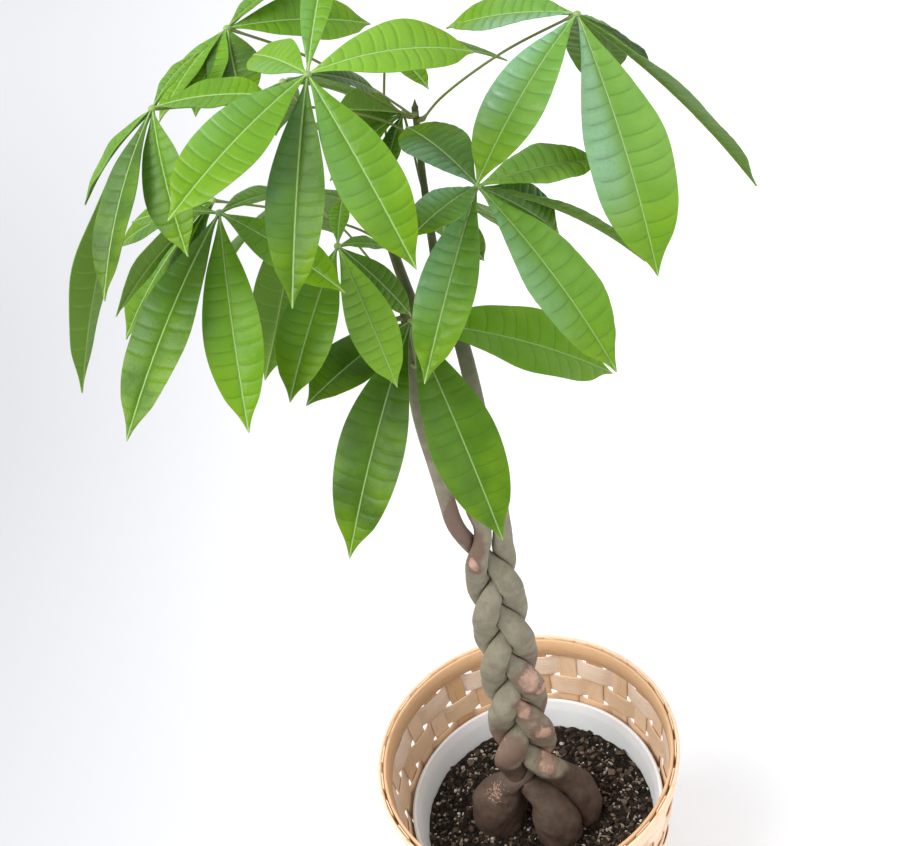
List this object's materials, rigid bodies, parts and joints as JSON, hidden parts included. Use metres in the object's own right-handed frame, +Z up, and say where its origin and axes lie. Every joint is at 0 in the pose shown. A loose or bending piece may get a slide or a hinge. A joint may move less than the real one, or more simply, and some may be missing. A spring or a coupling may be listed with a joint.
{
  "type": "potted money tree",
  "caption": "Braided money tree with palmate leaves, growing in a white nursery pot that stands in a tapered basket woven of flat split strips.",
  "frame": {"origin": "centre of the basket's flat underside, on the surface that it stands on", "axes": "+Z up, +X to the right and +Y away from the viewer of the picture"},
  "size_m": [0.2837, 0.2295, 0.6586],
  "materials": {
    "strip_pale": "matte",
    "strip_tan": "satin",
    "pot_white": "satin",
    "potting_mix": "matte",
    "bark": "matte",
    "leaf": "satin"
  },
  "bodies": {
    "root": {"basket_floor": "strip_pale", "basket_stakes": "strip_pale", "basket_weaver_01": "strip_tan", "basket_weaver_02": "strip_pale", "basket_weaver_03": "strip_tan", "basket_weaver_04": "strip_pale", "basket_weaver_05": "strip_tan", "basket_weaver_06": "strip_pale", "basket_weaver_07": "strip_tan", "basket_weaver_08": "strip_pale", "basket_weaver_09": "strip_tan", "basket_weaver_10": "strip_pale", "basket_rim_outer": "strip_tan", "basket_rim_inner": "strip_tan", "nursery_pot": "pot_white", "soil": "potting_mix", "trunk_left": "bark", "trunk_middle": "bark", "trunk_right": "bark", "leaf_crown_front": "leaf", "leaf_far_left": "leaf", "leaf_crown_left": "leaf", "leaf_low_left": "leaf", "leaf_young_front": "leaf", "leaf_right": "leaf", "leaf_far_right": "leaf", "leaf_low_front": "leaf", "leaf_crown_back": "leaf", "leaf_inner": "leaf", "leaf_behind_left": "leaf", "leaf_back_high": "leaf", "leaf_back_low": "leaf", "leaf_back_right": "leaf"}
  },
  "joints": []
}
